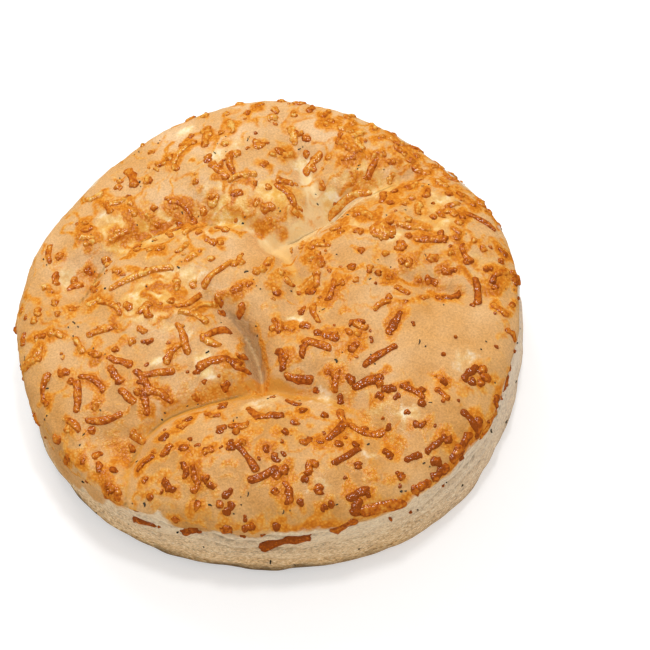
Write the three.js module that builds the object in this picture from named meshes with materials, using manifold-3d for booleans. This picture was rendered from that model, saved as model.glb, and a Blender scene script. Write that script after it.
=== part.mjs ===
// A round cheese focaccia: one flat-bottomed loaf with a pale side wall, a puffed and
// creased crust, and shreds of grated cheese that browned and melted into that crust.
// Units are millimetres, +Z is up, and the origin is the middle of the flat base.
import * as THREE from "three";
import { mergeVertices } from "three/addons/utils/BufferGeometryUtils.js";
import Module from "manifold-3d";

// Driving dimensions of the loaf
const LOAF_RADIUS = 100;
const LIP_HEIGHT = 33; // where the browned crust ends and the pale wall begins
const CROWN_HEIGHT = 45; // the crust before its puffs rise and its creases sink
const CROWN_FLATNESS = 8; // a higher power keeps the crown level nearer to the rim
const SHOULDER_ROUNDNESS = 2.2;

// The wall from the flat base up to just below the lip, as [inset from the lip's radius, height]
const WALL_SECTION = [
  [4.5, 0],
  [0.8, 1.6],
  [-0.9, 6],
  [-1.3, 14],
  [-0.4, 23],
  [0.3, 29],
];

// Slow waves in the outline, as [waves round the loaf, swing, turn of the first crest in radians]
const OUTLINE_WAVES = [
  [1, 1.9, -1.52],
  [2, 1.0, -2.15],
  [3, 1.5, -2.27],
  [4, 0.85, 0.09],
  [5, 1.2, 0.9],
];

// Puffs of risen dough, as [x, y, radius, rise]
const PUFFS = [
  [-38, 10, 30, 4.0],
  [2, 6, 14, 1.5],
  [46, 6, 28, 3.5],
  [62, -40, 26, 2.5],
  [-18, -68, 28, 4.0],
  [-2, 60, 22, 3.0],
  [54, 64, 20, 2.0],
  [-82, -16, 18, 1.0],
];

// Creases where the dough folds into itself, each a fold of this half width along a path
// through [x, y, depth]
const CREASES = [
  { // the pit in the middle
    halfWidth: 2.8,
    path: [[-24, 5, 1], [-15, -6, 8], [-9, -17, 13], [-7.5, -28, 15], [-8, -38, 12]],
  },
  { // from the pit to the front left
    halfWidth: 4.0,
    path: [
      [-8, -39, 11], [-24, -41, 9], [-41, -43, 8], [-54, -49, 7], [-62, -59, 7],
      [-67, -74, 6], [-72, -88, 4],
    ],
  },
  { // from the pit to the front right
    halfWidth: 4.3,
    path: [[-7, -39, 11], [3, -44, 9], [13, -48, 8], [23, -55, 7], [30, -65, 6], [37, -77, 4], [46, -90, 1]],
  },
  { // through the hollow at the back and out to the right
    halfWidth: 4.0,
    path: [
      [7, 25, 8], [15, 27, 10], [23, 31, 12], [31, 36, 13], [43, 40, 9], [57, 43, 7],
      [73, 45, 5], [90, 44, 3],
    ],
  },
  { // from that hollow to the back
    halfWidth: 4.6,
    path: [[30, 37, 11], [28, 49, 9], [25, 62, 7], [22, 76, 4], [20, 90, 1]],
  },
  { // round the back of the left puff
    halfWidth: 3.8,
    path: [
      [7, 25, 9], [1, 34, 8], [-11, 40, 7], [-29, 42, 6], [-46, 39, 6], [-59, 32, 6],
      [-68, 22, 6], [-74, 12, 4],
    ],
  },
  { // down the middle, between the left and right puffs
    halfWidth: 4.4,
    path: [[8, 24, 8], [13, 14, 7], [14, 1, 7], [12, -10, 5], [7, -19, 2]],
  },
  { // the short fold at the right edge
    halfWidth: 3.8,
    path: [[46, 2, 1], [57, -8, 4], [68, -14, 5], [80, -18, 4], [93, -20, 2]],
  },
];
const CREASE_STEPS = 40;
const CREASE_FOLD_SHARE = 0.7; // the sharp fold's share of a crease, the rest is its wide shoulder
const CREASE_SHOULDER = 3.2; // the shoulder's width in half widths of the fold
const CREASE_SOFTNESS = 2; // rounds the bottom of the fold, for these facets
const CREASE_JOIN = 4; // a higher power lets the deepest crease win where two meet

// Hollows pressed into the crust, as [x, y, radius, depth]
const HOLLOWS = [
  [-69, -52, 11, 6],
  [-75, 25, 9, 4],
  [32, 38, 7, 3],
];

// Facets of the loaf
const AROUND = 76;
const CROWN_ROWS = 22;
const CROWN_EDGE = 0.86; // the share of the radius where the shoulder's closer rows begin
const SHOULDER_ROWS = 4;

// Browned cheese shreds, placed on the skin as if it were peeled off the loaf and laid flat
const SHRED_COUNT = 520;
const SHRED_SPREAD = 103; // the shreds lie inside this distance from the middle of the top
const SHRED_SCATTER = 11; // how far a shred strays from its even place
const SHRED_LENGTH = [3.2, 14];
const SHRED_SHORTNESS = 3.2; // a higher power leaves fewer long shreds
const SHRED_WIDTH = [2.6, 3.9];
const SHRED_RISE = 1.4; // the height of a shred's back above the crust
const SHRED_BEND = 2.2;
const SHRED_BLUNTNESS = 0.4; // below 1 squares off the round ends
const SHRED_SIDES = 5;
const SHRED_RINGS = 4;
const SHORTEST_FUSED = 9.5; // shorter shreds are too fine for these facets
const DEEPEST_FOR_SHREDS = 6; // cheese in deeper creases melted away
const GOLDEN_ANGLE = Math.PI * (3 - Math.sqrt(5));

// Bare crust where only a few crumbs of cheese fell, as [x, y, radius]
const BARE_CRUST = [
  [64, -35, 18],
  [-86, -8, 8],
  [0, 24, 9],
];

// Shreds and slabs that stand out, some of them over the lip, as
// [x and y on the flattened skin, length, width, heading, bend]
const STANDOUTS = [
  [-78, -30, 14, 3.2, -1.7, 0.6],
  [-69, -41, 15, 3.0, 0.0, -1.5],
  [-12, -111, 24, 5.0, 0.2, 0.5],
  [28, -97, 18, 5.0, 0.1, 0.4],
  [13, -104, 12, 5.0, 0.4, 0.2],
  [77, -72, 16, 5.0, 0.8, 0.8],
  [66, -70, 10, 3.2, -1.0, 0.3],
  [50, -77, 9, 2.8, 0.5, 0.2],
  [43, 43, 21, 2.8, 0.2, 1.2],
  [52, 17, 11, 8.5, -0.2, 0.4],
  [38, -38, 16, 3.2, 0.3, 0.4],
  [82, -17, 13, 3.2, -1.7, 0.8],
  [-18, -73, 15, 3.2, -1.1, 0.6],
  [-46, 71, 13, 4.6, -1.3, 0.5],
  [-59, -34, 9, 3.6, -0.9, 0.3],
  [-69, -89, 13, 3.6, -0.4, 0.4],
  [-49, -97, 10, 4.6, 0.3, 0.2],
  [92, 16, 14, 3.0, -0.7, 0.6],
  [-47, 17, 27, 3.2, 0.1, 1.2],
  [-17, 12, 18, 3.2, 0.7, 0.8],
  [-65, -4, 13, 3.2, 0.1, 0.3],
  [-34, -15, 15, 3.0, -1.4, 0.6],
  [-25, -27, 13, 3.6, 0.1, 0.4],
  [-46, -27, 14, 3.0, 0.0, 0.4],
];
const STANDOUT_ROOM = 0.4; // the others stay this share of its length away from its middle

const SKIN_STEPS = 160;
const CRUST_COLOUR = "#dfa967";

// Even numbers between 0 and 1 that are always the same for the same two counters.
function scatter(index, channel) {
  const wave = Math.sin(index * 127.1 + channel * 311.7) * 43758.5453;
  return wave - Math.floor(wave);
}

function between([low, high], share) {
  return low + (high - low) * share;
}

// The outline's radius at an angle round the loaf, as a share of LOAF_RADIUS.
function outline(angle) {
  return OUTLINE_WAVES.reduce(
    (share, [waves, swing, turn]) => share + (swing / LOAF_RADIUS) * Math.cos(waves * angle - turn),
    1,
  );
}

// The smooth crown over the loaf: level in the middle, rolling down to the lip at share 1.
function crown(share) {
  const fall = Math.max(0, 1 - Math.min(1, share) ** CROWN_FLATNESS);
  return LIP_HEIGHT + (CROWN_HEIGHT - LIP_HEIGHT) * fall ** (1 / SHOULDER_ROUNDNESS);
}

// A crease's path as closely spaced points, with the depth in z.
const creaseTracks = CREASES.map(({ halfWidth, path }) => {
  const points = path.map(([x, y, depth]) => new THREE.Vector3(x, y, depth));
  const curve = new THREE.CatmullRomCurve3(points, false, "catmullrom", 0.5);
  return { halfWidth, points: curve.getPoints(CREASE_STEPS) };
});

// How deep the creases cut at a place: each is a sharp fold with wide rounded shoulders.
function creaseDepth(x, y) {
  let sum = 0;
  for (const { halfWidth, points } of creaseTracks) {
    let nearest = Infinity;
    let depth = 0;
    for (const point of points) {
      const distance = Math.hypot(point.x - x, point.y - y);
      if (distance < nearest) {
        nearest = distance;
        depth = point.z;
      }
    }
    const rounded = Math.hypot(nearest, CREASE_SOFTNESS) - CREASE_SOFTNESS;
    const fold = CREASE_FOLD_SHARE * Math.exp(-rounded / halfWidth);
    const across = nearest / (halfWidth * CREASE_SHOULDER);
    const shoulder = (1 - CREASE_FOLD_SHARE) * Math.exp(-(across ** 2));
    sum += (depth * (fold + shoulder)) ** CREASE_JOIN;
  }
  return sum ** (1 / CREASE_JOIN);
}

// The sum of round bumps, each [x, y, radius, height].
function bumps(list, x, y) {
  return list.reduce(
    (sum, [bx, by, radius, height]) =>
      sum + height * Math.exp(-((x - bx) ** 2 + (y - by) ** 2) / radius ** 2),
    0,
  );
}

// The height of the skin over a place in plan, from its height before the dough rose. Puffs,
// creases and hollows fade out at the lip.
function risen(x, y, height) {
  const fade = Math.max(0, height - LIP_HEIGHT) / (CROWN_HEIGHT - LIP_HEIGHT);
  const relief = bumps(PUFFS, x, y) - creaseDepth(x, y) - bumps(HOLLOWS, x, y);
  return height + relief * fade;
}

// The loaf's half section, from the middle of the base round the wall to the top.
function sectionPoints() {
  const points = [[0, 0]];
  for (const [inset, height] of WALL_SECTION) points.push([LOAF_RADIUS - inset, height]);
  for (let row = SHOULDER_ROWS; row > 0; row -= 1) {
    const share = 1 - (1 - CROWN_EDGE) * (1 - row / SHOULDER_ROWS) ** 2;
    points.push([LOAF_RADIUS * share, crown(share)]);
  }
  for (let row = CROWN_ROWS; row >= 0; row -= 1) {
    const share = (CROWN_EDGE * row) / CROWN_ROWS;
    points.push([LOAF_RADIUS * share, crown(share)]);
  }
  return points.map(([radius, height]) => new THREE.Vector2(radius, height));
}

// The bare loaf: a turned section, pushed out to the wavy outline and up and down to the crust.
function loafGeometry() {
  const geometry = new THREE.LatheGeometry(sectionPoints(), AROUND);
  geometry.rotateX(Math.PI / 2);
  const position = geometry.getAttribute("position");
  for (let i = 0; i < position.count; i += 1) {
    const wave = outline(Math.atan2(position.getY(i), position.getX(i)));
    const x = position.getX(i) * wave;
    const y = position.getY(i) * wave;
    position.setXYZ(i, x, y, risen(x, y, position.getZ(i)));
  }
  return geometry;
}

// The half section from the middle of the top over the lip and down the wall, each point with
// its distance along the skin.
function skinSection() {
  const points = [];
  for (let step = 0; step <= SKIN_STEPS; step += 1) {
    const share = 1 - (1 - step / SKIN_STEPS) ** 2;
    points.push({ radius: LOAF_RADIUS * share, height: crown(share) });
  }
  for (const [inset, height] of [...WALL_SECTION].reverse()) {
    points.push({ radius: LOAF_RADIUS - inset, height });
  }
  points[0].reach = 0;
  for (let step = 1; step < points.length; step += 1) {
    const [before, point] = [points[step - 1], points[step]];
    point.reach = before.reach + Math.hypot(point.radius - before.radius, point.height - before.height);
  }
  return points;
}
const skin = skinSection();

// The point on the loaf for a place on the flattened skin, raised by lift square to the section.
function onSkin(u, v, lift) {
  const reach = Math.hypot(u, v);
  const [alongX, alongY] = [u / reach, v / reach];
  const after = Math.max(1, skin.findIndex((point) => point.reach >= reach));
  const [low, high] = [skin[after - 1], skin[after]];
  const step = high.reach - low.reach;
  const run = (high.radius - low.radius) / step;
  const fall = (high.height - low.height) / step;
  const radius = low.radius + run * (reach - low.reach);
  const height = low.height + fall * (reach - low.reach);
  const wave = outline(Math.atan2(v, u));
  const [x, y] = [radius * wave * alongX, radius * wave * alongY];
  return [x - lift * fall * alongX, y - lift * fall * alongY, risen(x, y, height) + lift * run];
}

// Shred number index: an even place on a sunflower spiral, strayed and turned by its counter.
function shredPlace(index) {
  const radius = SHRED_SPREAD * Math.sqrt((index + 0.5) / SHRED_COUNT);
  const angle = index * GOLDEN_ANGLE;
  const stray = SHRED_SCATTER * scatter(index, 1);
  const strayAngle = 2 * Math.PI * scatter(index, 2);
  return {
    u: radius * Math.cos(angle) + stray * Math.cos(strayAngle),
    v: radius * Math.sin(angle) + stray * Math.sin(strayAngle),
    length: between(SHRED_LENGTH, scatter(index, 3) ** SHRED_SHORTNESS),
    width: between(SHRED_WIDTH, scatter(index, 4)),
    heading: Math.PI * scatter(index, 5),
    bend: SHRED_BEND * (2 * scatter(index, 6) - 1),
  };
}

function shredStays({ u, v, length }) {
  if (length < SHORTEST_FUSED) return false;
  const onTop = Math.hypot(u, v) < SHRED_SPREAD;
  const onBare = BARE_CRUST.some(([x, y, radius]) => Math.hypot(u - x, v - y) < radius);
  const crowded = STANDOUTS.some(([x, y, size]) => Math.hypot(u - x, v - y) < STANDOUT_ROOM * size);
  return onTop && !onBare && !crowded && creaseDepth(u, v) < DEEPEST_FOR_SHREDS;
}

// All the shreds that are large enough to fuse: the scattered ones and those that stand out.
function fusedShreds() {
  const scattered = Array.from({ length: SHRED_COUNT }, (_, index) => shredPlace(index));
  const placed = STANDOUTS.map(([u, v, length, width, heading, bend]) => ({
    u, v, length, width, heading, bend,
  }));
  return [...scattered.filter(shredStays), ...placed];
}

// One shred: a sphere drawn out to a blunt rod, bent, and laid half sunk along the crust.
function shredGeometry({ u, v, length, width, heading, bend }) {
  const geometry = new THREE.SphereGeometry(1, SHRED_SIDES, SHRED_RINGS);
  const position = geometry.getAttribute("position");
  const [alongX, alongY] = [Math.cos(heading), Math.sin(heading)];
  for (let i = 0; i < position.count; i += 1) {
    const along = position.getY(i);
    const ring = Math.hypot(position.getX(i), position.getZ(i));
    const blunt = ring > 1e-6 ? ring ** SHRED_BLUNTNESS / ring : 0;
    const run = (along * length) / 2;
    const side = (position.getX(i) * blunt * width) / 2 + bend * (along * along - 1 / 3);
    const lift = position.getZ(i) * blunt * SHRED_RISE;
    const place = onSkin(u + run * alongX + side * alongY, v + run * alongY - side * alongX, lift);
    position.setXYZ(i, ...place);
  }
  return geometry;
}

const wasm = await Module();
wasm.setup();

// A three.js geometry as a solid whose faces point outwards.
function solidOf(geometry) {
  geometry.deleteAttribute("normal");
  geometry.deleteAttribute("uv");
  const merged = mergeVertices(geometry, 1e-4);
  const triVerts = new Uint32Array(merged.index.array);
  const vertProperties = merged.getAttribute("position").array;
  return new wasm.Manifold(new wasm.Mesh({ numProp: 3, vertProperties, triVerts }));
}

function geometryOf(solid) {
  const { vertProperties, triVerts } = solid.getMesh();
  const geometry = new THREE.BufferGeometry();
  geometry.setAttribute("position", new THREE.BufferAttribute(vertProperties, 3));
  geometry.setIndex(new THREE.BufferAttribute(triVerts, 1));
  geometry.computeVertexNormals();
  return geometry;
}

// The loaf with its shreds fused on. Only the outer skin is kept, so a gap that two
// shreds close off is filled with bread.
function fusedLoaf() {
  let solid = solidOf(loafGeometry());
  for (const shred of fusedShreds()) solid = solid.add(solidOf(shredGeometry(shred)));
  const skins = solidOf(geometryOf(solid)).decompose();
  return skins.reduce((outer, skin) => (skin.volume() > outer.volume() ? skin : outer));
}

const crust = new THREE.MeshStandardMaterial({ color: CRUST_COLOUR, roughness: 0.6, metalness: 0 });
const loaf = new THREE.Mesh(geometryOf(fusedLoaf()), crust);
loaf.name = "focaccia";

const focaccia = new THREE.Group();
focaccia.add(loaf);

export default focaccia;
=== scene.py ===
# %% [markdown]
# # A round cheese focaccia
# The loaf is about 200 mm across: a flat base, a pale side wall, and a golden crust that puffs
# up between deep creases. Grated cheese browned on it, some of it melted, and dried herbs are
# baked in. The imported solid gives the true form. This lesson builds the same form again, fine
# enough to look at, and gives every surface its finish.

# %% Load the solid as a fixed frame
from math import cos, pi, radians, sin, sqrt, tau
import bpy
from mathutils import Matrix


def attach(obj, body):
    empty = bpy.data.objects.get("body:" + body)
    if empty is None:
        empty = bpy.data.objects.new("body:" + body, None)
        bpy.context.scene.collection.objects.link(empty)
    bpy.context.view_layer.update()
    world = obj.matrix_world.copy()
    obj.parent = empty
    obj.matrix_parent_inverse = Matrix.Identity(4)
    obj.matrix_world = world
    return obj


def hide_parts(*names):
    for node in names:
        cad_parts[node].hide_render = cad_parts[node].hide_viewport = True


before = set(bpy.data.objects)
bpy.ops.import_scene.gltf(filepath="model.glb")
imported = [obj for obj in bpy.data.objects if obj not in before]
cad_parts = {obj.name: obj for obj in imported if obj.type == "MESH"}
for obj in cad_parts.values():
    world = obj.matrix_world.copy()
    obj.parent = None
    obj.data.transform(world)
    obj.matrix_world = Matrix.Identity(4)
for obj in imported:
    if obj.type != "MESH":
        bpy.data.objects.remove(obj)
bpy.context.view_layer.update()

from types import SimpleNamespace

import bpy
import numpy as np
from mathutils import Matrix, Vector

MM = 0.001  # the frame is in metres, and the sizes below are in millimetres

# %% [markdown]
# ## The bare form
# The crust is a height over each place in plan: a level crown that rolls down to the lip, plus
# round puffs, minus creases. Sculpting could give this too, but a formula repeats the solid's
# own sizes, so the two agree to a fraction of a millimetre.

# %% Sizes of the loaf
LOAF_RADIUS = 100.0
LIP_HEIGHT = 33.0  # where the browned crust ends and the pale wall begins
CROWN_HEIGHT = 45.0  # the crust before its puffs rise and its creases sink
CROWN_FLATNESS = 8.0  # a higher power keeps the crown level nearer to the rim
SHOULDER_ROUNDNESS = 2.2

# Slow waves in the outline: waves round the loaf, swing, turn of the first crest in radians
OUTLINE_WAVES = [(1, 1.9, -1.52), (2, 1.0, -2.15), (3, 1.5, -2.27), (4, 0.85, 0.09), (5, 1.2, 0.9)]

# The wall from the lip down to the flat base: inset from the lip's radius, height
WALL_SECTION = [(0, LIP_HEIGHT), (0.3, 29), (-0.4, 23), (-1.3, 14), (-0.9, 6), (0.8, 1.6), (4.5, 0)]

# Puffs of risen dough and hollows between them: x, y, radius, height
PUFFS = [
    (-38, 10, 30, 4.0), (2, 6, 14, 1.5), (46, 6, 28, 3.5), (62, -40, 26, 2.5),
    (-18, -68, 28, 4.0), (-2, 60, 22, 3.0), (54, 64, 20, 2.0), (-82, -16, 18, 1.0),
    (-69, -52, 11, -6.0), (-75, 25, 9, -4.0), (32, 38, 7, -3.0),
]
# Unevenness of risen dough: wavelength, swing, seed
DOUGH_WAVES = [(17, 0.4, 3), (7, 0.14, 4)]

# Creases: half width of the fold, then its path through x, y, depth
CREASES = [
    (2.8, [(-24, 5, 1), (-15, -6, 8), (-9, -17, 13), (-7.5, -28, 15), (-8, -38, 12)]),
    (4.0, [(-8, -39, 11), (-24, -41, 9), (-41, -43, 8), (-54, -49, 7), (-62, -59, 7),
           (-67, -74, 6), (-72, -88, 4)]),
    (4.3, [(-7, -39, 11), (3, -44, 9), (13, -48, 8), (23, -55, 7), (30, -65, 6), (37, -77, 4),
           (46, -90, 1)]),
    (4.0, [(7, 25, 8), (15, 27, 10), (23, 31, 12), (31, 36, 13), (43, 40, 9), (57, 43, 7),
           (73, 45, 5), (90, 44, 3)]),
    (4.6, [(30, 37, 11), (28, 49, 9), (25, 62, 7), (22, 76, 4), (20, 90, 1)]),
    (3.8, [(7, 25, 9), (1, 34, 8), (-11, 40, 7), (-29, 42, 6), (-46, 39, 6), (-59, 32, 6),
           (-68, 22, 6), (-74, 12, 4)]),
    (4.4, [(8, 24, 8), (13, 14, 7), (14, 1, 7), (12, -10, 5), (7, -19, 2)]),
    (3.8, [(46, 2, 1), (57, -8, 4), (68, -14, 5), (80, -18, 4), (93, -20, 2)]),
]
CREASE_STEPS = 48
CREASE_FOLD_SHARE = 0.7  # the sharp fold's share of a crease, the rest is its wide shoulder
CREASE_SHOULDER = 3.2  # the shoulder's width in half widths of the fold
CREASE_SOFTNESS = 1.5  # rounds the bottom of the fold
CREASE_JOIN = 4  # a higher power lets the deepest crease win where two meet
print(len(PUFFS), "puffs and hollows,", len(CREASES), "creases")


# %% Curves and steps
def spline(points, steps):
    """A smooth curve through points: each span is the cubic whose slope at a point is half the
    step from the point before to the point after."""
    points = np.array(points, float)
    padded = np.vstack([2 * points[0] - points[1], points, 2 * points[-1] - points[-2]])
    place = np.linspace(0, len(points) - 1, steps)
    span = np.minimum(place.astype(int), len(points) - 2)
    t = (place - span)[:, None]
    before, start, end, after = (padded[span + k] for k in range(4))
    slope_in, slope_out = (end - before) / 2, (after - start) / 2
    rise = (2 * t**3 - 3 * t**2 + 1) * start + (t**3 - 2 * t**2 + t) * slope_in
    return rise + (3 * t**2 - 2 * t**3) * end + (t**3 - t**2) * slope_out


def ease(low, high, value):
    """0 at low and before, 1 at high and beyond, and a smooth S between them."""
    share = np.clip((value - low) / (high - low), 0, 1)
    return share * share * (3 - 2 * share)


def between(limits, share):
    """The value at a share of the way from the first limit to the second."""
    return limits[0] + (limits[1] - limits[0]) * share


def bell(gap, width):
    """1 at no gap, and dying away on both sides as a bell does."""
    return np.exp(-((gap / width) ** 2))


def gap_to(path, x, y):
    """The distance from each place to a path of straight steps, and the share along the path of
    the nearest point."""
    start, step = path[:-1, :2], np.diff(path[:, :2], axis=0)
    along = (x[..., None] - start[:, 0]) * step[:, 0] + (y[..., None] - start[:, 1]) * step[:, 1]
    along = np.clip(along / (step**2).sum(1), 0, 1)
    gap = np.hypot(x[..., None] - start[:, 0] - along * step[:, 0],
                   y[..., None] - start[:, 1] - along * step[:, 1])
    nearest = gap.argmin(-1)[..., None]
    place = nearest + np.take_along_axis(along, nearest, -1)
    return np.take_along_axis(gap, nearest, -1)[..., 0], place[..., 0] / len(step)


crease_steps = np.diff(spline(CREASES[0][1], CREASE_STEPS)[:, :2], axis=0)
print("the deepest crease is %.0f mm long" % np.hypot(*crease_steps.T).sum())


# %% Soft waves
PLANE_WAVES = 28  # plane waves in each sum
WAVE_SPREAD = (0.75, 1.35)  # their wavelengths, as shares of the one that is asked for


def flat(u, v):
    """Places in plan as points at height 0."""
    return np.stack([u, v, 0 * u], -1)


def ripples(points, wavelength, seed):
    """Soft uneven waves of size about 1: the sum of plane waves in seeded directions, each of
    nearly the same wavelength."""
    draw = np.random.default_rng(seed)
    heading = draw.normal(size=(3, PLANE_WAVES))
    heading /= np.linalg.norm(heading, axis=0)
    pace = tau / (wavelength * draw.uniform(*WAVE_SPREAD, PLANE_WAVES))
    start = draw.uniform(0, tau, PLANE_WAVES)
    return np.cos(points @ (heading * pace) + start).sum(-1) / sqrt(PLANE_WAVES / 2)


def waves(points, rows):
    """The sum of ripples, each given as wavelength, swing and seed."""
    return sum(swing * ripples(points, wavelength, seed) for wavelength, swing, seed in rows)


# %% The crust's relief over the plan
def outline(angle):
    """The outline's radius as a share of the loaf's: 1 plus its slow waves."""
    return 1 + sum(swing / LOAF_RADIUS * np.cos(crests * angle - turn)
                   for crests, swing, turn in OUTLINE_WAVES)


def crown(share):
    """Level in the middle and rolling down to the lip at share 1, as a superellipse does."""
    fall = np.clip(1 - np.clip(share, 0, 1) ** CROWN_FLATNESS, 0, 1)
    return LIP_HEIGHT + (CROWN_HEIGHT - LIP_HEIGHT) * fall ** (1 / SHOULDER_ROUNDNESS)


def along_crease(points, x, y):
    """The distance from each place to a crease's path, and the crease's depth at the nearest
    point of it."""
    path = spline(points, CREASE_STEPS)
    gap, share = gap_to(path, x, y)
    return gap, np.interp(share, np.linspace(0, 1, len(path)), path[:, 2])


def crease_depth(x, y, creases=CREASES):
    """How deep the creases cut: each is a sharp fold that dies away with distance, on a wide
    bell-shaped shoulder, and where several meet the deepest wins."""
    total = 0
    for half_width, points in creases:
        gap, depth = along_crease(points, x, y)
        rounded = np.hypot(gap, CREASE_SOFTNESS) - CREASE_SOFTNESS
        fold = CREASE_FOLD_SHARE * np.exp(-rounded / half_width)
        shoulder = (1 - CREASE_FOLD_SHARE) * bell(gap, half_width * CREASE_SHOULDER)
        total = total + (depth * (fold + shoulder)) ** CREASE_JOIN
    return total ** (1 / CREASE_JOIN)


def bumps(spots, x, y):
    """The sum of round bells, each given as x, y, radius and height."""
    return sum(height * np.exp(-((x - cx) ** 2 + (y - cy) ** 2) / radius**2)
               for cx, cy, radius, height in spots)


def crust_relief(x, y):
    """Puffs and hollows minus creases, plus the slight unevenness of risen dough."""
    return bumps(PUFFS, x, y) - crease_depth(x, y) + waves(flat(x, y), DOUGH_WAVES)


middle = np.zeros(1)
print("the middle of the crust is %.1f mm high" % (crown(middle) + crust_relief(middle, middle))[0])


# %% [markdown]
# ## The skin, unrolled
# Cheese lies on the top, over the rounded shoulder and down the wall alike. So places are given
# on the skin as if it were peeled off and laid flat: how far from the middle of the top, along
# the skin, and in which direction. One function lays such a place back on the loaf. The loaf
# itself, the shreds and the herbs all use it, so nothing floats and nothing is buried.

# %% Half section of the loaf
CROWN_STEPS = 400
WALL_STEPS = 200
crown_shares = 1 - np.linspace(1, 0, CROWN_STEPS) ** 2  # closer steps towards the lip
section = np.vstack([
    np.stack([LOAF_RADIUS * crown_shares, crown(crown_shares)], -1),
    spline(WALL_SECTION, WALL_STEPS)[1:] * [-1, 1] + [LOAF_RADIUS, 0],
    [[0, 0]]])
section_reach = np.concatenate([[0], np.cumsum(np.hypot(*np.diff(section, axis=0).T))])
section_slope = np.gradient(section, section_reach, axis=0)
LIP_REACH = section_reach[CROWN_STEPS - 1]
BASE_REACH = section_reach[-2]
print("along the skin: lip at %.0f mm, base edge at %.0f mm" % (LIP_REACH, BASE_REACH))

# %% Relief of the wall
# Folds of the dough in the wall: reach past the lip, first and last angle in radians, depth
WALL_FOLDS = [(2, 3.9, 4.9, 1.8), (6, 4.1, 4.7, 1.2), (11, 3.9, 5.2, 1.2), (4, 5.0, 6.0, 1.5),
              (9, 4.8, 5.8, 1.2), (15, 4.9, 5.7, 1.0), (12, 0.4, 1.5, 1.2), (6, 1.9, 3.0, 1.4)]
WALL_FOLD_WIDTH = 0.8
# Waves in the folds' paths, and wrinkles between the folds: wavelength, swing, seed
FOLD_WAVES = [(24, 1.5, 7)]
WRINKLES = [(26, 0.35, 5), (11, 0.18, 6)]
WRINKLE_SQUEEZE = 4  # wrinkles are this much longer round the loaf than in height
SMOOTH_FOOT = 5.0  # they die away below this height


def wall_folds(reach, angle, x, y):
    """Grooves that stray round the wall, each a bell across and half a sine wave along."""
    stray = waves(flat(x, y), FOLD_WAVES)
    total = 0 * reach
    for past_lip, first, last, depth in WALL_FOLDS:
        along = np.clip((angle % tau - first) / (last - first), 0, 1)
        gap = reach - LIP_REACH - past_lip - stray
        total = total + depth * np.sin(pi * along) * bell(gap, WALL_FOLD_WIDTH)
    return total


def wall_relief(reach, angle, x, y, z):
    """Wrinkles and folds of the wall: waves that are long round the loaf and short in height,
    minus the grooves."""
    wrinkles = waves(np.stack([x, y, WRINKLE_SQUEEZE * z], -1), WRINKLES)
    return wrinkles * ease(0, SMOOTH_FOOT, z) - wall_folds(reach, angle, x, y)


def lay(u, v, lift):
    """Points on the loaf for places on the unrolled skin, raised by lift along the section's
    own upright."""
    reach, angle = np.hypot(u, v), np.arctan2(v, u)
    radius, height = (np.interp(reach, section_reach, column) for column in section.T)
    run, fall = (np.interp(reach, section_reach, column) for column in section_slope.T)
    x, y = radius * outline(angle) * np.cos(angle), radius * outline(angle) * np.sin(angle)
    on_top = np.clip((height - LIP_HEIGHT) / (CROWN_HEIGHT - LIP_HEIGHT), 0, 1)
    push = lift + (1 - on_top) * wall_relief(reach, angle, x, y, height)
    return np.stack([x - push * fall * np.cos(angle), y - push * fall * np.sin(angle),
                     height + on_top * crust_relief(x, y) + push * run], -1)


print("the lip at the front, in mm:", lay(middle, middle - LIP_REACH, 0.0)[0].round(1))


# %% [markdown]
# ## Cheese: where it fell
# Grated cheese lands evenly but not neatly. Blender could scatter it as particles, but a
# sunflower spiral spreads places evenly over the disc by a formula, and numbers drawn from each
# shred's own counter stray and turn it. The solid uses the same rule, so each long shred lies
# where the solid has it.

# %% Kinds of cheese
SHRED_LENGTH = (3.2, 14.0)
SHRED_SPREAD = 103.0  # the spiral of shreds fills this distance from the middle of the top
SHRED_SCATTER = 11.0  # how far a shred strays from its even place
SHRED_BEND = 2.2
GOLDEN_ANGLE = pi * (3 - sqrt(5))

# Each kind: how many are tried, how far they spread, their sizes, how few of them are long (a
# higher power leaves fewer) and the first channel of their draws
SHREDS = dict(count=520, spread=SHRED_SPREAD, length=SHRED_LENGTH, width=(2.6, 3.9), shortness=3.2,
              channel=0)
GAP_SHREDS = dict(count=560, spread=SHRED_SPREAD, length=(3.4, 8.0), width=(2.8, 4.0),
                  shortness=1.3, channel=80)
CRUMBS = dict(count=190, spread=112.0, length=(1.2, 3.0), width=(1.2, 2.2), shortness=1.0, channel=20)
STRANDS = dict(count=600, spread=116.0, length=(5.0, 17.0), width=(2.0, 4.0), shortness=1.3,
               channel=60)

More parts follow.
